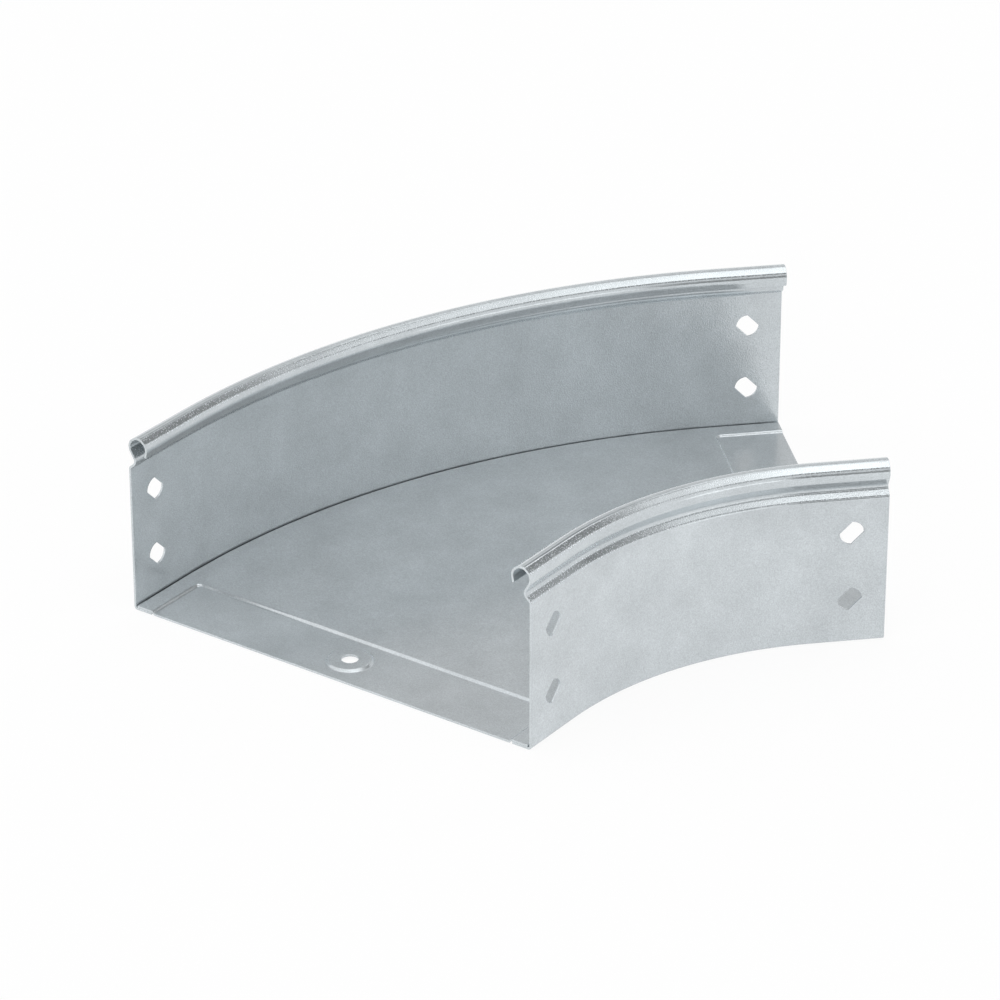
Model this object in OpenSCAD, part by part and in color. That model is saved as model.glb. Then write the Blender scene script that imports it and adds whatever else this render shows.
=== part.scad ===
// Horizontal cable tray bend in galvanised sheet steel: a floor plate between two roll-formed side rails.
// The near end looks along -Y and the tray turns to the right on its way to the far end.

/* [Tray] */
// Width over the outer faces of the two side rails
tray_w = 200; // [120:1:400]
// Height of the side rails over the rolled rim
tray_h = 80; // [75:1:120]
// Thickness of all the sheet
sheet_t = 1; // [0.8:0.1:1.5]
// How much forming along the arc takes off the rails' thickness and the floor's width
arc_thinning = 0.02; // [0.01:0.01:0.05]

/* [Bend] */
// Angle through which the tray turns
bend_angle = 45; // [15:15:90]
// Radius of the inner rail's face that looks at the centre of the bend
inner_radius = 150; // [80:5:400]
// Length of the straight run at each end
straight_l = 30; // [30:1:100]

/* [Rail foot] */
// Width of the flange under the floor, from the rail's outer face
flange_w = 9; // [6:0.5:9]
// Inside radius of the bend between the flange and the wall
foot_r = 0.5; // [0.3:0.1:1]

/* [Rail rim] */
// Outside diameter of the rolled rim
roll_d = 9.6; // [8:0.2:12]
// How far the roll stays back from the plane of the wall
roll_inset = 0.2; // [0:0.1:1]
// Lean from level at which the roll's crown ends and its flat shoulders start
shoulder_top = 23; // [15:1:30]
// Lean from level at which the flat shoulders end
shoulder_foot = 52; // [40:1:60]
// Angle by which the rolled lip leans back under the roll
lip_lean = 11; // [0:1:30]
// Straight length of the lip at the end of the roll
lip_l = 2.4; // [1:0.1:3]
// How far the neck under the roll is pinched in from the plane of the wall
neck_inset = 2.8; // [2.2:0.1:3.5]
// Inside radius of the neck
neck_r = 1.9; // [1:0.1:2.2]
// Angle by which the neck leans out to the roll
neck_upper_lean = 30; // [25:1:40]
// Inside radius of the kink where the wall turns into the neck
kink_r = 0.8; // [0.5:0.1:1.2]
// Angle by which the neck leans in from the wall
neck_lower_lean = 48; // [40:1:60]

/* [Rail slots] */
// Width of a slot across its flats
slot_w = 7; // [5:0.5:8]
// Length of a slot, the diameter of its round ends
slot_l = 10; // [9:0.5:14]
// Angle by which the slots lean, from level
slot_lean = 45; // [30:5:60]
// Distance of the slots from the end of the tray
slot_from_end = 15; // [10:0.5:20]
// Height of the lower slot over the underside
slot_low_z = 20; // [12:0.5:25]
// Distance from the lower slot up to the upper one
slot_pitch = 30; // [18:0.5:32]

/* [Floor] */
// Gap between the floor's edge and the rail's wall
floor_gap = 1.1; // [0.5:0.1:1.5]
// Gap between the pressed panel and the rail's flange
panel_gap = 0.6; // [0.5:0.1:2]
// Length of the pressed panel, from the end of the tray
panel_l = 30.5; // [26:0.5:34]
// Width of the sloped step round the panel
panel_step = 0.85; // [0.5:0.05:1]
// Radius of the panel's inner corners
panel_corner_r = 2.5; // [1.5:0.5:5]

/* [Floor bolt holes] */
// Diameter of the bolt hole
hole_d = 7; // [5:0.5:9]
// Distance of the bolt hole from the end of the tray
hole_from_end = 15; // [12:0.5:15]
// Diameter of the boss's flat top
boss_top_d = 17.6; // [14:0.2:18]
// Width of the boss's sloped side
boss_side = 1; // [0.5:0.1:1.2]

/* [Hidden] */
$fn = 96;

// Length by which a cut runs past the faces that it opens
cut_past = 1;
// Angle by which the arc runs into each straight, so that they are one piece
arc_overlap = 0.1;
// Largest turn that one facet of a fold takes
fold_facet = 7.5;
arc_inset = arc_thinning / 2;
zinc = [0.72, 0.74, 0.76];
zinc_floor = [0.66, 0.68, 0.7];

// Levels: the flanges lie at the bottom, the floor lies on them and the panels are pressed between them
panel_z = 0;
floor_z = panel_z + sheet_t;
panel_drop = floor_z - panel_z;

// Plan of the bend, round a centre at the plan's own origin
outer_radius = inner_radius + tray_w;
near_turn = 180;
far_turn = near_turn - bend_angle;
plan_x_min = -outer_radius;
plan_x_max = -inner_radius * cos(bend_angle) + straight_l * sin(bend_angle);
plan_y_min = -straight_l;
plan_y_max = outer_radius * sin(bend_angle) + straight_l * cos(bend_angle);

// Widths across the floor, as radii from the centre of the bend
floor_edge = sheet_t + floor_gap;
panel_edge = flange_w + panel_gap;
floor_r_min = inner_radius + floor_edge;
floor_r_max = outer_radius - floor_edge;
panel_r_min = inner_radius + panel_edge;
panel_r_max = outer_radius - panel_edge;
middle_radius = (inner_radius + outer_radius) / 2;

// Rim section, worked out along the middle of the sheet from the roll down to the wall
half_t = sheet_t / 2;
roll_mid_r = roll_d / 2 - half_t;
neck_mid_r = neck_r + half_t;
kink_mid_r = kink_r + half_t;
roll_u = roll_inset + roll_d / 2;
roll_z = tray_h - roll_d / 2;
neck_u = neck_inset + half_t;
upper_run = neck_u - neck_mid_r * (1 - cos(neck_upper_lean)) - roll_u + roll_mid_r * cos(neck_upper_lean);
upper_l = upper_run / sin(neck_upper_lean);
neck_z = roll_z - (roll_mid_r + neck_mid_r) * sin(neck_upper_lean) - upper_l * cos(neck_upper_lean);
lower_run = neck_inset - (neck_mid_r + kink_mid_r) * (1 - cos(neck_lower_lean));
lower_l = lower_run / sin(neck_lower_lean);
kink_z = neck_z - (neck_mid_r + kink_mid_r) * sin(neck_lower_lean) - lower_l * cos(neck_lower_lean);
foot_outside_r = foot_r + sheet_t;

// Turns into the roll between which its two shoulders are flat
crown_turn = neck_upper_lean + 90;
roll_flats = [
    [crown_turn - shoulder_foot, crown_turn - shoulder_top],
    [crown_turn + shoulder_top, crown_turn + shoulder_foot]
];

// Folds of the rail's strip from the flange's edge to the lip: straight length, turn towards the tray's
// inside, the radius inside the fold and the turns between which the fold is flat
rail_folds = [
    [flange_w - foot_outside_r, 90, foot_r, []],
    [kink_z - foot_outside_r, neck_lower_lean, kink_r, []],
    [lower_l, -(neck_lower_lean + neck_upper_lean), neck_r, []],
    [upper_l, neck_upper_lean + 180 + lip_lean, roll_d / 2 - sheet_t, roll_flats],
    [lip_l, 0, 0, []]
];

// Direction to the left of a heading
function left_of(heading) = [-sin(heading), cos(heading)];

// Turns from start to end in even facets
function even_turns(start, end) =
    let (pieces = max(1, ceil((end - start) / fold_facet)))
    [for (i = [0 : pieces]) start + (end - start) * i / pieces];

// Turns at which a fold has its points, with none inside its flats
function fold_turns(turn, flats) =
    let (ends = concat([0], [for (flat = flats) each flat], [turn]))
    [for (i = [0 : 2 : len(ends) - 2]) each even_turns(ends[i], ends[i + 1])];

// Points along one face of a folded strip, at an offset to the left of its middle line.
// Each fold starts at a place and a heading on the middle line and ends with a smooth arc.
function face_points(folds, side, offset, place, heading, step = 0) =
    let (
        run = folds[step][0],
        turn = side * folds[step][1],
        middle_r = sign(turn) * (folds[step][2] + half_t),
        fold_start = place + run * [cos(heading), sin(heading)],
        centre = fold_start + middle_r * left_of(heading),
        turns = fold_turns(abs(turn), folds[step][3]),
        arc = [for (t = turns) centre - (middle_r - offset) * left_of(heading + sign(turn) * t)],
        fold_end = centre - middle_r * left_of(heading + turn)
    )
    step == len(folds) - 1
        ? [fold_start + offset * left_of(heading)]
        : concat(arc, face_points(folds, side, offset, fold_end, heading + turn, step + 1));

function reversed(list) = [for (i = [len(list) - 1 : -1 : 0]) list[i]];

// Section of a folded strip that starts at a place, with an inset taken off its faces and its two edges
module folded_strip(folds, side, place, heading, inset) {
    offset = half_t - inset;
    last = len(folds) - 1;
    cut_folds = [for (i = [0 : last]) [
        folds[i][0] - (i == 0 || i == last ? inset : 0),
        folds[i][1],
        folds[i][2],
        folds[i][3]
    ]];
    start = place + inset * [cos(heading), sin(heading)];
    left_face = face_points(cut_folds, side, offset, start, heading);
    right_face = face_points(cut_folds, side, -offset, start, heading);
    polygon(concat(
        [start - offset * left_of(heading), start + offset * left_of(heading)],
        left_face,
        reversed(right_face)
    ));
}

// Section of the rail on the inside of the bend, drawn from the edge of its flange
module inner_rail_section(inset) {
    translate([inner_radius, 0])
        folded_strip(rail_folds, -1, [flange_w, half_t], 180, inset);
}

// Section of the rail on the outside of the bend, the other way round
module outer_rail_section(inset) {
    translate([outer_radius, 0])
        folded_strip(rail_folds, 1, [-flange_w, half_t], 0, inset);
}

// Carries the first section, drawn as radius and height, along both straights and the second along the arc
module along_bend() {
    rotate([0, 0, near_turn])
        translate([0, straight_l, 0])
            rotate([90, 0, 0])
                linear_extrude(straight_l)
                    children(0);
    rotate([0, 0, far_turn - arc_overlap])
        rotate_extrude(angle = bend_angle + 2 * arc_overlap)
            children(1);
    rotate([0, 0, far_turn])
        rotate([90, 0, 0])
            linear_extrude(straight_l)
                children(0);
}

// Puts what is drawn with its end face at y = 0 and the tray at positive y on both ends of the tray
module at_both_ends() {
    rotate([0, 0, near_turn])
        translate([0, straight_l, 0])
            mirror([0, 1, 0])
                children();
    rotate([0, 0, far_turn])
        translate([0, -straight_l, 0])
            children();
}

// Slot that leans to one side, a round hole cut by two flats, through a wall at the given radius
module leaning_slot(wall_radius, lean) {
    translate([wall_radius - cut_past, 0, 0])
        rotate([90, 0, 90])
            linear_extrude(sheet_t + 2 * cut_past)
                rotate(lean)
                    intersection() {
                        circle(d = slot_l);
                        square([2 * slot_l, slot_w], center = true);
                    }
}

// The slots of both ends; the lean is the same way round the bend at each end
module rail_slots(wall_radius, lean) {
    for (z = [slot_low_z, slot_low_z + slot_pitch]) {
        rotate([0, 0, near_turn])
            translate([0, straight_l - slot_from_end, z])
                leaning_slot(wall_radius, lean);
        rotate([0, 0, far_turn])
            translate([0, slot_from_end - straight_l, z])
                leaning_slot(wall_radius, lean);
    }
}

// Outline of the floor, with its edges along the rails
module floor_plan() {
    floor_w = floor_r_max - floor_r_min;
    reach = 2 * outer_radius;
    rotate(near_turn)
        translate([floor_r_min, 0])
            square([floor_w, straight_l]);
    rotate(far_turn)
        translate([floor_r_min, -straight_l])
            square([floor_w, straight_l]);
    intersection() {
        difference() {
            circle(r = floor_r_max - arc_inset);
            circle(r = floor_r_min + arc_inset);
        }
        polygon([
            [0, 0],
            reach * [cos(near_turn + arc_overlap), sin(near_turn + arc_overlap)],
            reach * [cos((near_turn + far_turn) / 2), sin((near_turn + far_turn) / 2)],
            reach * [cos(far_turn - arc_overlap), sin(far_turn - arc_overlap)]
        ]);
    }
}

// Pressed volume of a connection panel from its flat bottom up, open at the end of the tray
module panel_volume(bottom_z, height, past_end) {
    corner_y = panel_l - panel_corner_r;
    corner_r_min = panel_r_min + panel_corner_r;
    corner_r_max = panel_r_max - panel_corner_r;
    spread = panel_step * (height / panel_drop - 1);
    translate([0, 0, bottom_z]) {
        // between the side slopes, as far as the corners
        translate([0, corner_y, 0])
            rotate([90, 0, 0])
                linear_extrude(corner_y + past_end)
                    polygon([
                        [panel_r_min - spread, height],
                        [panel_r_min + panel_step, 0],
                        [panel_r_max - panel_step, 0],
                        [panel_r_max + spread, height]
                    ]);
        // behind the corners, as far as the back slope
        translate([corner_r_min, corner_y, 0])
            rotate([90, 0, 90])
                linear_extrude(corner_r_max - corner_r_min)
                    panel_edge_profile(height, spread);
        // the two rounded corners
        translate([corner_r_min, corner_y, 0])
            rotate([0, 0, 90])
                rotate_extrude(angle = 90)
                    panel_edge_profile(height, spread);
        translate([corner_r_max, corner_y, 0])
            rotate_extrude(angle = 90)
                panel_edge_profile(height, spread);
    }
}

// Sloped edge of the pressed volume, from a corner's centre outward
module panel_edge_profile(height, spread) {
    polygon([
        [0, 0],
        [panel_corner_r - panel_step, 0],
        [panel_corner_r + spread, height],
        [0, height]
    ]);
}

// Volume of the boss round a bolt hole, from below its base up to its flat top
module boss_volume(top_z, height) {
    translate([middle_radius, hole_from_end, top_z - height])
        cylinder(d1 = boss_top_d + 2 * boss_side * height / panel_drop, d2 = boss_top_d, h = height);
}

// Moves the plan so that the middle of its outline is at the origin
module centred() {
    translate([-(plan_x_min + plan_x_max) / 2, -(plan_y_min + plan_y_max) / 2, 0])
        children();
}

// Sheet on the rails' flanges, with a pressed-down panel at each end and a raised boss in each panel
module floor_plate() {
    color(zinc_floor)
        centred()
            difference() {
                union() {
                    difference() {
                        union() {
                            translate([0, 0, floor_z])
                                linear_extrude(sheet_t)
                                    floor_plan();
                            at_both_ends()
                                panel_volume(panel_z, panel_drop + sheet_t / 2, 0);
                        }
                        at_both_ends()
                            panel_volume(floor_z, sheet_t + cut_past, cut_past);
                    }
                    at_both_ends()
                        boss_volume(floor_z + sheet_t, panel_drop + sheet_t / 2);
                }
                at_both_ends() {
                    boss_volume(floor_z, panel_drop + cut_past);
                    translate([middle_radius, hole_from_end, panel_z - cut_past])
                        cylinder(d = hole_d, h = panel_drop + sheet_t + 2 * cut_past);
                }
            }
}

// Rolled strip along the outside of the bend
module outer_side_rail() {
    color(zinc)
        centred()
            difference() {
                along_bend() {
                    outer_rail_section(0);
                    outer_rail_section(arc_inset);
                }
                rail_slots(outer_radius - sheet_t, slot_lean);
            }
}

// Rolled strip along the inside of the bend
module inner_side_rail() {
    color(zinc)
        centred()
            difference() {
                along_bend() {
                    inner_rail_section(0);
                    inner_rail_section(arc_inset);
                }
                rail_slots(inner_radius, -slot_lean);
            }
}

floor_plate();
outer_side_rail();
inner_side_rail();
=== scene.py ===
"""Cable tray bend in galvanised sheet steel, in a white studio.

The floor plate and the two side rails are made as sheets with smooth folds, rounded cut edges and punched
holes. Each sheet is a grid of rows across the strip and columns along the bend, with a left and a right face.
All sizes are in metres, in the part's frame.
"""

import math

import bmesh
import bpy
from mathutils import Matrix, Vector


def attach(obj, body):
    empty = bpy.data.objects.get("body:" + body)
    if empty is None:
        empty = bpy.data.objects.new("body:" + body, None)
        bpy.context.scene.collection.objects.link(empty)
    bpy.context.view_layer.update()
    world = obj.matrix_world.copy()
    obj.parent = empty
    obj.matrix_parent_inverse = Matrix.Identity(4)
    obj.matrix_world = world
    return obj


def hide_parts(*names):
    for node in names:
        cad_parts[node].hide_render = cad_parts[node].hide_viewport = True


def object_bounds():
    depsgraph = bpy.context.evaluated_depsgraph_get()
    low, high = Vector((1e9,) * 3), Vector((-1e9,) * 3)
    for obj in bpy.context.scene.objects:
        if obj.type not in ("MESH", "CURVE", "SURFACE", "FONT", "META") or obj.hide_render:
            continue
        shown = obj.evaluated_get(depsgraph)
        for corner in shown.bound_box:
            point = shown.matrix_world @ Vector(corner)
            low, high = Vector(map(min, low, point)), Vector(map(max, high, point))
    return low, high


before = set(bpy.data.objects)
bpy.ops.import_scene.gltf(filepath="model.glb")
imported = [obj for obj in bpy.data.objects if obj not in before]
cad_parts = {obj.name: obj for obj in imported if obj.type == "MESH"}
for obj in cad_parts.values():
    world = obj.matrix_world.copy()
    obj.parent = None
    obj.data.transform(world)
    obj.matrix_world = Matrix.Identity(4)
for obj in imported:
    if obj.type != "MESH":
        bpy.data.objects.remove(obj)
cad_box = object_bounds()

MM = 0.001
EIGHTH_TURN = math.pi / 4
QUARTER_TURN = math.pi / 2

# Tray and bend
TRAY_W = 200 * MM
TRAY_H = 80 * MM
SHEET_T = 1 * MM
HALF_T = SHEET_T / 2
BEND_ANGLE = math.radians(45)
INNER_RADIUS = 150 * MM
OUTER_RADIUS = INNER_RADIUS + TRAY_W
MIDDLE_RADIUS = INNER_RADIUS + TRAY_W / 2
STRAIGHT_L = 30 * MM
BEND_CENTRE = Vector((cad_box[0].x + OUTER_RADIUS, cad_box[0].y + STRAIGHT_L, cad_box[0].z))

# Rail foot and rim
FLANGE_W = 9 * MM
FOOT_R = 0.5 * MM
ROLL_D = 9.6 * MM
ROLL_INSET = 0.2 * MM
ROLL_FLAT_TOP = math.radians(23)
ROLL_FLAT_FOOT = math.radians(52)
LIP_LEAN = math.radians(11)
LIP_L = 2.4 * MM
NECK_INSET = 2.8 * MM
NECK_R = 1.9 * MM
NECK_UPPER_LEAN = math.radians(30)
NECK_LOWER_LEAN = math.radians(48)
KINK_R = 0.8 * MM

# Places in the list of a rail's folds
FLANGE_FOLD = 0
WALL_FOLD = 1
ROLL_FOLD = 3

# Rail slots, whose tops lean towards the far end on the inner rail and the near end on the outer rail
SLOT_W = 7 * MM
SLOT_L = 10 * MM
SLOT_LEAN_INNER = math.radians(45)
SLOT_LEAN_OUTER = math.radians(135)
SLOT_FROM_END = 15 * MM
SLOT_HEIGHTS = (20 * MM, 50 * MM)
SLOT_WINDOW = 15 * MM

# Floor, its pressed panels and their bosses
FLOOR_GAP = 0.75 * MM
FLOOR_R_MIN = INNER_RADIUS + SHEET_T + FLOOR_GAP
FLOOR_R_MAX = OUTER_RADIUS - SHEET_T - FLOOR_GAP
PANEL_GAP = 0.6 * MM
PANEL_HALF_W = TRAY_W / 2 - FLANGE_W - PANEL_GAP
PANEL_L = 30.5 * MM
PANEL_DROP = SHEET_T
PANEL_STEP = 0.85 * MM
PANEL_CORNER_R = 2.5 * MM
HOLE_D = 7 * MM
HOLE_FROM_END = 15 * MM
BOSS_TOP_R = 8.8 * MM
BOSS_SIDE = 1 * MM
BOSS_WINDOW = 24 * MM

# Fineness of the meshes
EDGE_R = 0.15 * MM
EDGE_STEPS = 3
FOLD_STEP = math.radians(4)
ARC_STEPS = 72
WINDOW_STEPS = 12
PRESS_SOFTNESS = 7
PANEL_LINES = 30
PANEL_REACH = 36 * MM
POLAR_MARGIN = math.radians(3.5)
FLOOR_ARC_STEPS = 60
BOSS_SIDE_RINGS = 15
BOSS_SIDE_MARGIN = 0.6 * BOSS_SIDE
BOSS_TOP_RINGS = 3

# Zinc: colour, share of bare metal and roughness
ZINC_COLOUR = (0.6, 0.642, 0.664)
ZINC_METALLIC = 0.65
ZINC_ROUGHNESS = 0.1

# Clouds, spangle cells and grain of the zinc: their scale, and how far they move its tone and roughness
NOISE_ROUGHNESS = 0.6
CLOUD_SCALE = 45
CLOUD_DETAIL = 4
CLOUD_TONE = 0.18
CLOUD_ROUGHNESS = 0.03
SPANGLE_SCALE = 900
SPANGLE_TONE = 0.02
SPANGLE_ROUGHNESS = 0.02
GRAIN_SCALE = 1800
GRAIN_DETAIL = 1
GRAIN_RANGE = (0.3, 0.7)
GRAIN_TONE = 0.1

# Seam between a rail's wall and the floor's edge, where shade is painted into the zinc's colour
SEAM_SHADE_ATTRIBUTE = "seam_shade"
SEAM_TOP = PANEL_DROP + SHEET_T
SEAM_FADE = 0.05 * MM
SEAM_PAINTED_SHADE = 0.5

# Rim, from this height up, where rolling has smoothed the rails' zinc, and its slopes, where it has left dull
# specks: upward share of the normal at which the specks start, are full, fade and end
RIM_Z = TRAY_H - 15.5 * MM
RIM_FADE = 0.5 * MM
SPECKLED_SLOPES = (0.3, 0.5, 0.88, 0.97)
SPECK_RANGE = (0.46, 0.66)
SPECK_ROUGHNESS = 0.2

# Bump of the grain: its height, its strength on the sheet and on the rim, and what the rim's slopes add
GRAIN_HEIGHT = 0.2 * MM
SHEET_BUMP = 0.35
RIM_BUMP = 0.1
SLOPE_BUMP = 0.15

# Camera, fitted to the photograph, with its angles in degrees
CAMERA_AZIMUTH = 35.458
CAMERA_ELEVATION = 27.223
CAMERA_TARGET = Vector((-21.62, -45.28, 40.0)) * MM
CAMERA_DISTANCE = 1968.94 * MM
CAMERA_LENS_MM = 171.89
CAMERA_SENSOR_MM = 36

# Studio floor: half its side, its paint, and the share of plain white that the camera and the metal see
STUDIO_FLOOR_HALF = 8
STUDIO_FLOOR_PAINT = (0.95, 0.95, 0.95, 1)
STUDIO_FLOOR_WHITE = 0.9

# Lamp over the tray, with its angles in degrees
SOFTBOX_AZIMUTH = 70
SOFTBOX_ELEVATION = 74
SOFTBOX_DISTANCE = 1.6
SOFTBOX_TARGET = Vector((0, 0, 0.04))
SOFTBOX_SIZE = 0.8
SOFTBOX_POWER = 0.8

# Room: its light level, and its lighter and darker walls as azimuth, half width, lowest and highest elevation
# in degrees, and light level. Headings are counted from the room's back, because no wall but the ceiling
# reaches across the azimuth opposite to it
ROOM_LIGHT = 1
ROOM_EDGE = 6
ROOM_BACK = -147.5
ROOM_WALLS = (
    (0, 360, 59, 121, 1.35),   # ceiling
    (75, 35, 63, 92, 1.6),     # lighter ceiling on the right
    (58, 18, 46, 63, 0.5),     # grey wall below it
    (82, 15, 0, 4, 2.5),       # bright strip low on the right
    (-10, 40, 0, 59, 1.3),     # light wall in front
    (-60, 35, 15, 59, 1.1),    # light wall on the left
    (-145, 50, 20, 59, 0.54),  # grey wall at the back
    (-175, 5, 34, 47, 3),      # bright strip on it
    (-162, 7, 31, 46, 0),      # black strip beside that
    (-149, 4, 33, 41, 1.1),    # light strip beside that
    (165, 20, 52, 63, 0),      # black flag below the ceiling, at the back
    (-163, 4, 47, 57, 2),      # bright strip beside the flag
    (125, 20, 49, 60, 1.15),   # light flag below the ceiling, behind on the right
    (95, 40, 33, 47, 0.1),     # dark band on the right
    (156, 18, 32, 47, 0),      # black band at the back
    (50, 15, -3, 19, 0.1),     # dark wall in front on the right
    (50, 15, 19, 34, 0.8),     # light band over it
    (50, 15, 34, 48, 0),       # black band over that
)


def evenly(start, end, steps):
    """Values from start to end in even steps, both ends included."""
    return [start + (end - start) * i / steps for i in range(steps + 1)]


def edge_steps():
    """Distances from a cut edge and the sheet's half thickness there, round the edge's quarter circle."""
    turns = evenly(0, QUARTER_TURN, EDGE_STEPS)
    return [(EDGE_R * (1 - math.cos(a)), HALF_T - EDGE_R + EDGE_R * math.sin(a)) for a in turns]


# Places along the bend


def bend_point(turn, along, radius, z):
    """Point at a radius from the bend's centre, after a turn from the near end and a way straight on."""
    outward = Vector((-math.cos(turn), math.sin(turn), 0))
    ahead = Vector((math.sin(turn), math.cos(turn), 0))
    return BEND_CENTRE + outward * radius + ahead * along + Vector((0, 0, z))


def straight_columns():
    """Distances from a tray end with the half thickness there: the cut edge, then the slots' window."""
    window = evenly(SLOT_FROM_END - SLOT_WINDOW / 2, SLOT_FROM_END + SLOT_WINDOW / 2, WINDOW_STEPS)
    return edge_steps() + [(d, HALF_T) for d in window]


def rail_columns():
    """Columns of a rail as turn, way along and half thickness, from the near end to the far end."""
    straight = straight_columns()
    near = [(0, d - STRAIGHT_L, half) for d, half in straight]
    arc = [(a, 0, HALF_T) for a in evenly(0, BEND_ANGLE, ARC_STEPS)]
    far = [(BEND_ANGLE, STRAIGHT_L - d, half) for d, half in reversed(straight)]
    return near + arc + far


# Section of the rails


def rail_folds():
    """Folds of a rail's strip from the flange's edge to the lip: straight length, turn and inside radius.

    The section is drawn with the distance from the wall's outer plane as x and the height as y."""
    roll_mid_r = ROLL_D / 2 - HALF_T
    neck_mid_r = NECK_R + HALF_T
    kink_mid_r = KINK_R + HALF_T
    foot_outside_r = FOOT_R + SHEET_T
    roll_x = ROLL_INSET + ROLL_D / 2
    roll_y = TRAY_H - ROLL_D / 2
    neck_x = NECK_INSET + HALF_T
    upper_run = neck_x - neck_mid_r * (1 - math.cos(NECK_UPPER_LEAN)) - roll_x
    upper_run += roll_mid_r * math.cos(NECK_UPPER_LEAN)
    upper_l = upper_run / math.sin(NECK_UPPER_LEAN)
    neck_y = roll_y - (roll_mid_r + neck_mid_r) * math.sin(NECK_UPPER_LEAN)
    neck_y -= upper_l * math.cos(NECK_UPPER_LEAN)
    lower_run = NECK_INSET - (neck_mid_r + kink_mid_r) * (1 - math.cos(NECK_LOWER_LEAN))
    lower_l = lower_run / math.sin(NECK_LOWER_LEAN)
    kink_y = neck_y - (neck_mid_r + kink_mid_r) * math.sin(NECK_LOWER_LEAN)
    kink_y -= lower_l * math.cos(NECK_LOWER_LEAN)
    return [
        (FLANGE_W - foot_outside_r, -QUARTER_TURN, FOOT_R),
        (kink_y - foot_outside_r, -NECK_LOWER_LEAN, KINK_R),
        (lower_l, NECK_LOWER_LEAN + NECK_UPPER_LEAN, NECK_R),
        (upper_l, -(NECK_UPPER_LEAN + math.pi + LIP_LEAN), ROLL_D / 2 - SHEET_T),
        (LIP_L, 0, 0),
    ]


def arc_angles(start, end):
    """Headings along a round fold."""
    return evenly(start, end, math.ceil(abs(end - start) / FOLD_STEP))


def roll_angles(start, end):
    """Headings along the roll, whose two shoulders are flat."""
    crown = arc_angles(ROLL_FLAT_TOP, -ROLL_FLAT_TOP)
    return arc_angles(start, ROLL_FLAT_FOOT) + crown + arc_angles(-ROLL_FLAT_FOOT, end)


def slot_rows():
    """Heights of the rows through the windows that the slots are punched in."""
    half = SLOT_WINDOW / 2
    return [z for centre in SLOT_HEIGHTS for z in evenly(centre - half, centre + half, WINDOW_STEPS)]


def rail_rows():
    """Rows of a rail as middle point, normal of the left face and half thickness, from flange to lip."""
    place = Vector((FLANGE_W, HALF_T))
    heading = math.pi
    folds = rail_folds()
    edge = edge_steps()
    rows = []
    for index, (run, turn, inside_r) in enumerate(folds):
        ahead = Vector((math.cos(heading), math.sin(heading)))
        left = Vector((-ahead.y, ahead.x))
        if index == FLANGE_FOLD:
            rows += [(place + ahead * d, left, half) for d, half in edge]
        if index == WALL_FOLD:
            heights = [SEAM_TOP - SEAM_FADE, SEAM_TOP + SEAM_FADE] + slot_rows()
            rows += [(Vector((place.x, z)), left, HALF_T) for z in heights]
        place = place + ahead * run
        if index == len(folds) - 1:
            rows += [(place - ahead * d, left, half) for d, half in reversed(edge)]
            break
        middle_r = math.copysign(inside_r + HALF_T, turn)
        centre = place + left * middle_r
        angles = roll_angles if index == ROLL_FOLD else arc_angles
        for angle in angles(heading, heading + turn):
            normal = Vector((-math.sin(angle), math.cos(angle)))
            rows.append((centre - normal * middle_r, normal, HALF_T))
        heading += turn
        place = rows[-1][0]
    return rows


def row_at(rows, height):
    """Index of the row nearest to a height on the wall."""
    return min(range(len(rows)), key=lambda i: abs(rows[i][0].y - height))


# Closed sheets


def both_faces(corners):
    """A face on the left side and its twin on the right side."""
    return [[left for left, _ in corners], [right for _, right in reversed(corners)]]


def edge_faces(loop):
    """Faces that close a loop of vertex pairs across the sheet's thickness."""
    following = loop[1:] + loop[:1]
    return [[a[0], a[1], b[1], b[0]] for a, b in zip(loop, following)]


def sheet_faces(pairs, windows):
    """Faces of both sides of a grid of vertex pairs, and its four cut edges. The windows are left open."""
    last_row = len(pairs) - 1
    last_column = len(pairs[0]) - 1
    faces = []
    for i in range(last_row):
        for j in range(last_column):
            if any(i0 <= i < i1 and j0 <= j < j1 for (i0, i1), (j0, j1) in windows):
                continue
            corners = [pairs[i][j], pairs[i][j + 1], pairs[i + 1][j + 1], pairs[i + 1][j]]
            faces += both_faces(corners)
    outline = [pairs[0][j] for j in range(last_column)]
    outline += [pairs[i][last_column] for i in range(last_row)]
    outline += [pairs[last_row][j] for j in range(last_column, 0, -1)]
    outline += [pairs[i][0] for i in range(last_row, 0, -1)]
    return faces + edge_faces(outline)


def ring_faces(rings):
    """Faces between rings of vertex pairs, and across the thickness at the last ring."""
    faces = []
    for outer, inner in zip(rings, rings[1:]):
        for k in range(len(outer)):
            m = (k + 1) % len(outer)
            faces += both_faces([outer[k], outer[m], inner[m], inner[k]])
    return faces + edge_faces(rings[-1])


def window_at(first_row, first_column):
    """Window that a hole is punched in, as its first and last row and its first and last column."""
    return (first_row, first_row + WINDOW_STEPS), (first_column, first_column + WINDOW_STEPS)


def window_loop(pairs, window, quarter_turns):
    """Vertex pairs round a window, from the middle of its side at the highest column, turned by quarters."""
    (i0, i1), (j0, j1) = window
    middle = (i0 + i1) // 2
    loop = [pairs[i][j1] for i in range(middle, i1)]
    loop += [pairs[i1][j] for j in range(j1, j0, -1)]
    loop += [pairs[i][j0] for i in range(i1, i0, -1)]
    loop += [pairs[i0][j] for j in range(j0, j1)]
    loop += [pairs[i][j1] for i in range(i0, middle)]
    shift = quarter_turns * WINDOW_STEPS
    return loop[shift:] + loop[:shift]


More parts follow.
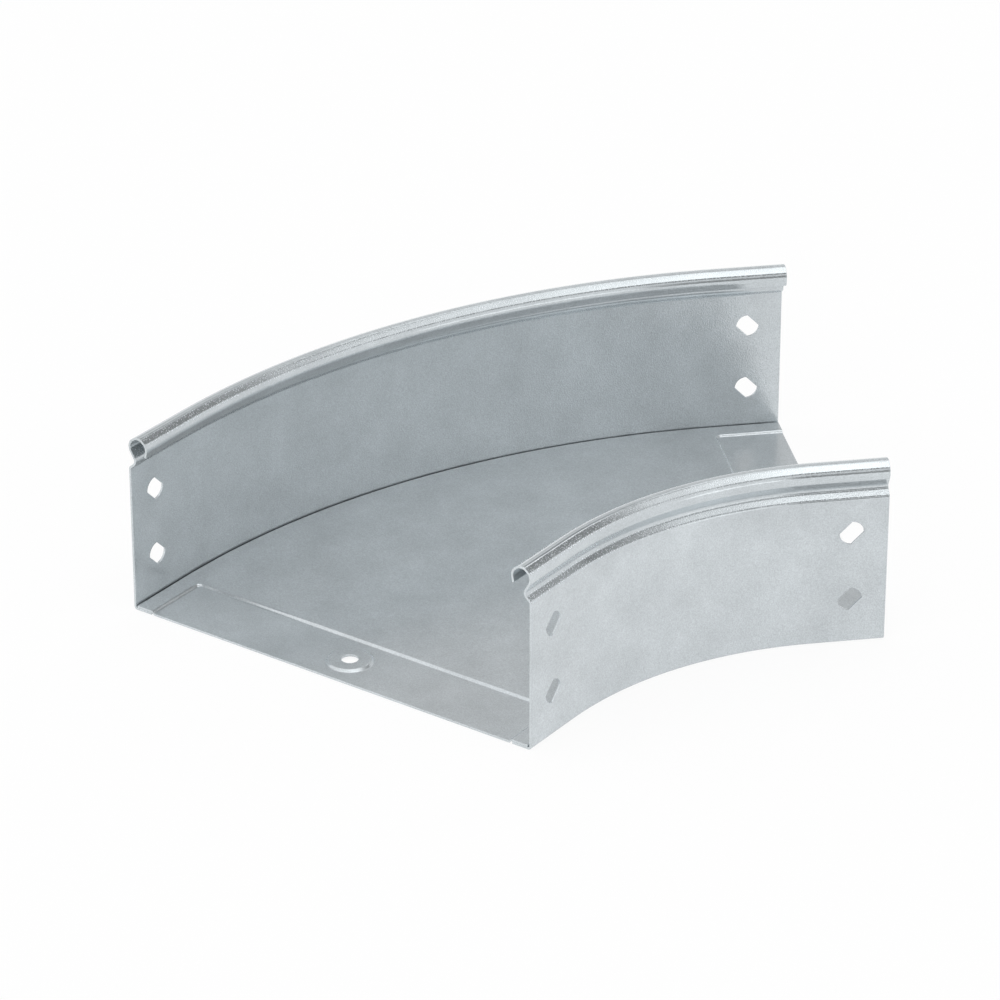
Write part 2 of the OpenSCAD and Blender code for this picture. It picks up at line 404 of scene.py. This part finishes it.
def make_piece(name, faces, material, node, in_painted_seam_shade=()):
    """Object with the given faces, whose vertices are points, that stands for a node of the part.

    The points that lie in a seam are marked, so that the material paints shade on them."""
    mesh = bmesh.new()
    seam_shade = mesh.verts.layers.float.new(SEAM_SHADE_ATTRIBUTE)
    made = {}
    for face in faces:
        corners = []
        for point in face:
            key = id(point)
            if key not in made:
                made[key] = mesh.verts.new(point)
            corners.append(made[key])
        mesh.faces.new(corners).smooth = True
    for point in in_painted_seam_shade:
        made[id(point)][seam_shade] = 1
    bmesh.ops.recalc_face_normals(mesh, faces=mesh.faces)
    data = bpy.data.meshes.new(name)
    mesh.to_mesh(data)
    mesh.free()
    data.materials.append(material)
    piece = bpy.data.objects.new(name, data)
    bpy.context.scene.collection.objects.link(piece)
    shading = piece.modifiers.new("flat_faces_stay_flat", "WEIGHTED_NORMAL")
    shading.keep_sharp = False
    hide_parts(node)
    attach(piece, "root")
    return piece


# Side rails


def slot_outline(lean):
    """Points round a slot as ways along and up from its centre: a circle cut by two flats, leaning."""
    corner = math.asin(SLOT_W / SLOT_L)

    def on_circle(angle):
        return Vector((math.cos(angle), math.sin(angle))) * SLOT_L / 2

    points = []
    for end in (0, math.pi):
        points += [on_circle(angle) for angle in evenly(end - corner, end + corner, WINDOW_STEPS)[:-1]]
        flat_start = on_circle(end + corner)
        flat_end = on_circle(end + math.pi - corner)
        points += [flat_start.lerp(flat_end, i / WINDOW_STEPS) for i in range(WINDOW_STEPS)]
    turned = Vector((math.cos(lean), math.sin(lean)))
    return [Vector((p.x * turned.x - p.y * turned.y, p.x * turned.y + p.y * turned.x)) for p in points]


def side_rail(name, face_radius, inward, lean, material, node):
    """Rolled strip along the bend, whose outer face has the given radius and looks away from inward."""
    rows = rail_rows()
    columns = rail_columns()

    def pair_at(turn, along, middle, normal, half):
        sides = (middle + normal * half, middle - normal * half)
        return tuple(bend_point(turn, along, face_radius + inward * p.x, p.y) for p in sides)

    pairs = []
    for middle, normal, row_half in rows:
        row = [pair_at(turn, along, middle, normal, min(row_half, half)) for turn, along, half in columns]
        pairs.append(row)

    edge = len(edge_steps())
    last_window = len(columns) - edge - WINDOW_STEPS - 1
    ends = (
        (edge, 0, SLOT_FROM_END - STRAIGHT_L),
        (last_window, BEND_ANGLE, STRAIGHT_L - SLOT_FROM_END),
    )
    outline = slot_outline(lean)
    # The outline starts about an eighth of a turn before its lean
    quarter_turns = round((lean - EIGHTH_TURN) / QUARTER_TURN) % 4
    windows = []
    faces = []
    for height in SLOT_HEIGHTS:
        first_row = row_at(rows, height - SLOT_WINDOW / 2)
        wall, normal, _ = rows[first_row]
        for first_column, turn, along in ends:
            window = window_at(first_row, first_column)
            windows.append(window)
            centre = Vector((along, height))
            rings = [window_loop(pairs, window, quarter_turns)]
            for distance, half in reversed(edge_steps()):
                ring = []
                for point in outline:
                    place = centre + point * (1 + distance / point.length)
                    ring.append(pair_at(turn, place.x, Vector((wall.x, place.y)), normal, half))
                rings.append(ring)
            faces += ring_faces(rings)
    faces += sheet_faces(pairs, windows)
    # Points low on the wall, down in the seam beside the floor, are marked for painted shade
    low_rows = [row for row, (middle, _, _) in zip(pairs, rows) if middle.y < SEAM_TOP]
    in_painted_seam_shade = [inside for row in low_rows[edge:] for _, inside in row[edge:-edge]]
    return make_piece(name, faces, material, node, in_painted_seam_shade)


# Floor plate


def soft_ramp(t):
    """Ramp from 0 to 1 between t = 0 and t = 1, with rounded ends."""
    def soft_corner(x):
        return max(x, 0) + math.log1p(math.exp(-abs(x) * PRESS_SOFTNESS)) / PRESS_SOFTNESS
    return soft_corner(t) - soft_corner(t - 1)


def pressed_level(across, from_end):
    """Height of the floor's underside, at a way across from the tray's middle and a distance from an end."""
    qx = abs(across) - PANEL_HALF_W + PANEL_CORNER_R
    qy = from_end - PANEL_L + PANEL_CORNER_R
    outside = math.hypot(max(qx, 0), max(qy, 0)) + min(max(qx, qy), 0) - PANEL_CORNER_R
    panel = soft_ramp(outside / PANEL_STEP + 1)
    from_hole = math.hypot(across, from_end - HOLE_FROM_END)
    boss = soft_ramp((BOSS_TOP_R + BOSS_SIDE - from_hole) / BOSS_SIDE)
    return PANEL_DROP * (panel + boss)


def floor_pair(far_end, across, from_end, half):
    """Top and bottom points of the floor near one end of the tray."""
    radius = MIDDLE_RADIUS + across
    past = from_end - STRAIGHT_L
    radius = math.sqrt(radius ** 2 - max(past, 0) ** 2)
    middle = pressed_level(across, from_end) + HALF_T
    turn, along = (BEND_ANGLE, -past) if far_end else (0, past)
    return tuple(bend_point(turn, along, radius, z) for z in (middle + half, middle - half))


def floor_rows():
    """Ways across the floor with the half thickness there: edges, the panels' sides, the boss window."""
    half_floor = (FLOOR_R_MAX - FLOOR_R_MIN) / 2
    edge = [(half_floor - d, half) for d, half in edge_steps()]
    inside = PANEL_HALF_W - PANEL_CORNER_R - 2 * PANEL_STEP
    side = [(x, HALF_T) for x in evenly(PANEL_HALF_W + PANEL_STEP, inside, PANEL_LINES)]
    window = [(x, HALF_T) for x in evenly(-BOSS_WINDOW / 2, BOSS_WINDOW / 2, WINDOW_STEPS)]
    right = edge + side
    left = [(-x, half) for x, half in right]
    return left + window + right[::-1]


def floor_end_lines():
    """Distances from an end with the half thickness there: the edge, the boss window, the panel's back."""
    half_window = BOSS_WINDOW / 2
    window = evenly(HOLE_FROM_END - half_window, HOLE_FROM_END + half_window, WINDOW_STEPS)
    back = evenly(PANEL_L - PANEL_CORNER_R - PANEL_STEP / 2, PANEL_L + PANEL_STEP, PANEL_LINES)
    return edge_steps() + [(d, HALF_T) for d in window + back + [PANEL_REACH]]


def boss_rings():
    """Radii of the rings round a bolt hole with the half thickness there, from the window in to the hole."""
    side_start = BOSS_TOP_R + BOSS_SIDE + BOSS_SIDE_MARGIN
    side = evenly(side_start, BOSS_TOP_R - BOSS_SIDE_MARGIN, BOSS_SIDE_RINGS)
    top = evenly(BOSS_TOP_R - BOSS_SIDE, HOLE_D / 2 + BOSS_SIDE, BOSS_TOP_RINGS)
    hole = [(HOLE_D / 2 + d, half) for d, half in reversed(edge_steps())]
    return [(r, HALF_T) for r in side + top] + hole


def boss_ring(far_end, radius, half):
    """Ring of vertex pairs round a bolt hole, in step with its window's border."""
    ring = []
    for k in range(4 * WINDOW_STEPS):
        angle = QUARTER_TURN * k / WINDOW_STEPS
        along = math.cos(angle) * (-1 if far_end else 1)
        ring.append(floor_pair(far_end, radius * math.sin(angle), HOLE_FROM_END + radius * along, half))
    return ring


def floor_plate(name, material, node):
    """Sheet between the rails with a pressed panel and a bored boss at each end."""
    rows = floor_rows()
    lines = floor_end_lines()
    arc = evenly(POLAR_MARGIN, BEND_ANGLE - POLAR_MARGIN, FLOOR_ARC_STEPS)
    pairs = []
    for across, row_half in rows:
        near = [floor_pair(False, across, d, min(row_half, half)) for d, half in lines]
        far = [floor_pair(True, across, d, min(row_half, half)) for d, half in reversed(lines)]
        heights = (PANEL_DROP + HALF_T + row_half, PANEL_DROP + HALF_T - row_half)
        middle = []
        for turn in arc:
            middle.append(tuple(bend_point(turn, 0, MIDDLE_RADIUS + across, z) for z in heights))
        pairs.append(near + middle + far)

    edge = len(edge_steps())
    first_row = edge + PANEL_LINES + 1
    last_window = len(pairs[0]) - edge - WINDOW_STEPS - 1
    windows = []
    faces = []
    for far_end, first_column in ((False, edge), (True, last_window)):
        window = window_at(first_row, first_column)
        windows.append(window)
        rings = [window_loop(pairs, window, 0)]
        for radius, half in boss_rings():
            rings.append(boss_ring(far_end, radius, half))
        faces += ring_faces(rings)
    faces += sheet_faces(pairs, windows)
    return make_piece(name, faces, material, node)


# Materials


def calculated(tree, kind, operation, *values):
    """Output of a math node of a kind, whose inputs are plain values or other nodes' outputs."""
    node = tree.nodes.new(kind)
    node.operation = operation
    for socket, value in zip(node.inputs, values):
        if isinstance(value, bpy.types.NodeSocket):
            tree.links.new(value, socket)
        else:
            socket.default_value = value
    return node.outputs["Value" if operation == "DOT_PRODUCT" else 0]


def number(tree, operation, *values):
    """Output of a math node for numbers."""
    return calculated(tree, "ShaderNodeMath", operation, *values)


def vector(tree, operation, *values):
    """Output of a math node for vectors."""
    return calculated(tree, "ShaderNodeVectorMath", operation, *values)


def galvanised(name):
    """Zinc-coated steel: soft clouds, small spangle cells and a fine grain that breaks up the gloss.

    Shade is painted into the seams by darkening the colour there. On a rolled rim the grain is smoother, with
    dull specks on the slopes."""
    material = bpy.data.materials.new(name)
    material.use_nodes = True
    tree = material.node_tree
    nodes = tree.nodes
    links = tree.links
    shader = nodes["Principled BSDF"]
    shader.inputs["Metallic"].default_value = ZINC_METALLIC
    coordinates = nodes.new("ShaderNodeTexCoord")
    place = coordinates.outputs["Object"]

    def texture(kind, scale, **settings):
        node = nodes.new(kind)
        node.inputs["Scale"].default_value = scale
        for socket, value in settings.items():
            node.inputs[socket].default_value = value
        links.new(place, node.inputs["Vector"])
        return node

    def noise(scale, detail):
        return texture("ShaderNodeTexNoise", scale, Detail=detail, Roughness=NOISE_ROUGHNESS).outputs["Fac"]

    def upward(source):
        node = nodes.new("ShaderNodeSeparateXYZ")
        links.new(source, node.inputs["Vector"])
        return node.outputs["Z"]

    def spread(source, low, high, source_low=0, source_high=1):
        node = nodes.new("ShaderNodeMapRange")
        node.inputs["From Min"].default_value = source_low
        node.inputs["From Max"].default_value = source_high
        node.inputs["To Min"].default_value = low
        node.inputs["To Max"].default_value = high
        links.new(source, node.inputs["Value"])
        return node.outputs["Result"]

    def around(middle, swing, source, *source_range):
        return spread(source, middle - swing, middle + swing, *source_range)

    clouds = noise(CLOUD_SCALE, CLOUD_DETAIL)
    grain = noise(GRAIN_SCALE, GRAIN_DETAIL)
    spangle = nodes.new("ShaderNodeSeparateColor")
    links.new(texture("ShaderNodeTexVoronoi", SPANGLE_SCALE).outputs["Color"], spangle.inputs["Color"])
    # Marks of the seam, where shade is painted into the colour
    seam_shade = nodes.new("ShaderNodeAttribute")
    seam_shade.attribute_name = SEAM_SHADE_ATTRIBUTE

    rolled = spread(upward(place), 0, 1, RIM_Z - RIM_FADE, RIM_Z + RIM_FADE)
    slope = upward(coordinates.outputs["Normal"])
    start, full, fade, end = SPECKLED_SLOPES
    formed = number(tree, "MULTIPLY", spread(slope, 0, 1, start, full), spread(slope, 1, 0, fade, end))
    formed = number(tree, "MULTIPLY", formed, rolled)
    specks = number(tree, "MULTIPLY", spread(grain, 0, 1, *SPECK_RANGE), formed)

    tone = number(tree, "MULTIPLY", around(1, CLOUD_TONE, clouds),
                  around(1, SPANGLE_TONE, spangle.outputs["Red"]))
    tone = number(tree, "MULTIPLY", tone, around(1, GRAIN_TONE, grain, *GRAIN_RANGE))
    # Painted shade: the colour is darkened on the points marked as lying in the seam between wall and floor
    tone = number(tree, "MULTIPLY", tone, spread(seam_shade.outputs["Fac"], 1, SEAM_PAINTED_SHADE))
    tint = nodes.new("ShaderNodeVectorMath")
    tint.operation = "SCALE"
    tint.inputs[0].default_value = ZINC_COLOUR
    links.new(tone, tint.inputs["Scale"])
    links.new(tint.outputs["Vector"], shader.inputs["Base Color"])

    roughness = number(tree, "ADD", around(ZINC_ROUGHNESS, CLOUD_ROUGHNESS, clouds),
                       around(0, SPANGLE_ROUGHNESS, spangle.outputs["Green"]))
    roughness = number(tree, "ADD", roughness, spread(specks, 0, SPECK_ROUGHNESS))
    links.new(roughness, shader.inputs["Roughness"])

    bump = nodes.new("ShaderNodeBump")
    strength = number(tree, "ADD", spread(rolled, SHEET_BUMP, RIM_BUMP), spread(formed, 0, SLOPE_BUMP))
    links.new(strength, bump.inputs["Strength"])
    bump.inputs["Distance"].default_value = GRAIN_HEIGHT
    links.new(grain, bump.inputs["Height"])
    links.new(bump.outputs["Normal"], shader.inputs["Normal"])
    return material


def studio_floor_material():
    """White floor that keeps a soft shadow and shows as white to the camera and in the metal."""
    material = bpy.data.materials.new("studio_floor")
    material.use_nodes = True
    tree = material.node_tree
    nodes = tree.nodes
    links = tree.links
    nodes.clear()
    paint = nodes.new("ShaderNodeBsdfDiffuse")
    paint.inputs["Color"].default_value = STUDIO_FLOOR_PAINT
    glow = nodes.new("ShaderNodeEmission")
    path = nodes.new("ShaderNodeLightPath")
    seen = path.outputs["Is Camera Ray"]
    for ray in ("Is Glossy Ray", "Is Transmission Ray"):
        seen = number(tree, "MAXIMUM", seen, path.outputs[ray])
    mix = nodes.new("ShaderNodeMixShader")
    links.new(number(tree, "MULTIPLY", seen, STUDIO_FLOOR_WHITE), mix.inputs["Fac"])
    links.new(paint.outputs["BSDF"], mix.inputs[1])
    links.new(glow.outputs["Emission"], mix.inputs[2])
    output = nodes.new("ShaderNodeOutputMaterial")
    links.new(mix.outputs["Shader"], output.inputs["Surface"])
    return material


# Studio


def compass(azimuth, elevation):
    """Direction with azimuth 0 towards the near end of the tray and 90 to its right, in degrees."""
    a = math.radians(azimuth)
    e = math.radians(elevation)
    return Vector((math.sin(a) * math.cos(e), -math.cos(a) * math.cos(e), math.sin(e)))


def aim(thing, place, heading):
    """Put a lamp or a camera at a place, looking along a heading."""
    thing.location = place
    thing.rotation_euler = heading.to_track_quat("-Z", "Y").to_euler()
    bpy.context.scene.collection.objects.link(thing)


def studio_floor():
    """Large pale floor under the tray."""
    half = STUDIO_FLOOR_HALF
    data = bpy.data.meshes.new("studio_floor")
    corners = [(-half, -half, 0), (half, -half, 0), (half, half, 0), (-half, half, 0)]
    data.from_pydata(corners, [], [(0, 1, 2, 3)])
    data.materials.append(studio_floor_material())
    floor = bpy.data.objects.new("studio_floor", data)
    floor.location.z = cad_box[0].z
    bpy.context.scene.collection.objects.link(floor)


def studio_world():
    """Soft room light with lighter and darker walls."""
    world = bpy.data.worlds.new("studio")
    bpy.context.scene.world = world
    world.use_nodes = True
    tree = world.node_tree
    nodes = tree.nodes
    links = tree.links
    direction = nodes.new("ShaderNodeTexCoord").outputs["Generated"]
    edge = Vector((1, 1, 0)) * math.radians(ROOM_EDGE) / 2

    def facing(axis):
        return vector(tree, "DOT_PRODUCT", direction, axis)

    def within(distance, reach):
        node = nodes.new("ShaderNodeMapRange")
        node.data_type = "FLOAT_VECTOR"
        node.interpolation_type = "SMOOTHSTEP"
        sockets = {socket.identifier: socket for socket in node.inputs}
        sockets["From_Min_FLOAT3"].default_value = reach + edge
        sockets["From_Max_FLOAT3"].default_value = reach - edge
        links.new(distance, node.inputs["Vector"])
        across = nodes.new("ShaderNodeSeparateXYZ")
        links.new(node.outputs["Vector"], across.inputs["Vector"])
        return number(tree, "MULTIPLY", across.outputs["X"], across.outputs["Y"])

    place = nodes.new("ShaderNodeCombineXYZ")
    heading = number(tree, "ARCTAN2", facing(compass(ROOM_BACK + 90, 0)), facing(compass(ROOM_BACK, 0)))
    elevation = number(tree, "ARCSINE", facing((0, 0, 1)))
    links.new(heading, place.inputs["X"])
    links.new(elevation, place.inputs["Y"])
    light = ROOM_LIGHT
    for azimuth, half_width, lowest, highest, level in ROOM_WALLS:
        sideways = (azimuth - ROOM_BACK + 180) % 360 - 180
        centre = Vector((math.radians(sideways), math.radians(lowest + highest) / 2, 0))
        reach = Vector((math.radians(half_width), math.radians(highest - lowest) / 2, 0))
        offset = vector(tree, "SUBTRACT", place.outputs["Vector"], centre)
        inside = within(vector(tree, "ABSOLUTE", offset), reach)
        step = number(tree, "SUBTRACT", level, light)
        light = number(tree, "MULTIPLY_ADD", inside, step, light)
    links.new(light, nodes["Background"].inputs["Strength"])
    nodes["Background"].inputs["Color"].default_value = (1, 1, 1, 1)


def studio_softbox():
    """Square area lamp over the tray."""
    lamp = bpy.data.lights.new("top_softbox", "AREA")
    lamp.size = SOFTBOX_SIZE
    lamp.energy = SOFTBOX_POWER
    place = compass(SOFTBOX_AZIMUTH, SOFTBOX_ELEVATION) * SOFTBOX_DISTANCE
    aim(bpy.data.objects.new("top_softbox", lamp), place, SOFTBOX_TARGET - place)


def studio_camera():
    """Camera at the photograph's viewing angle."""
    back = compass(CAMERA_AZIMUTH, CAMERA_ELEVATION)
    lens = bpy.data.cameras.new("camera")
    lens.lens = CAMERA_LENS_MM
    lens.sensor_width = CAMERA_SENSOR_MM
    camera = bpy.data.objects.new("camera", lens)
    aim(camera, CAMERA_TARGET + back * CAMERA_DISTANCE, -back)
    bpy.context.scene.camera = camera


rail_zinc = galvanised("rail_zinc")
floor_zinc = galvanised("floor_zinc")

outer_rail = side_rail("rail_outer", OUTER_RADIUS, -1, SLOT_LEAN_OUTER, rail_zinc, "outer_side_rail")
inner_rail = side_rail("rail_inner", INNER_RADIUS, 1, SLOT_LEAN_INNER, rail_zinc, "inner_side_rail")
floor_sheet = floor_plate("floor_sheet", floor_zinc, "floor_plate")

studio_floor()
studio_world()
studio_softbox()
studio_camera()
bpy.context.scene.view_settings.view_transform = "Standard"
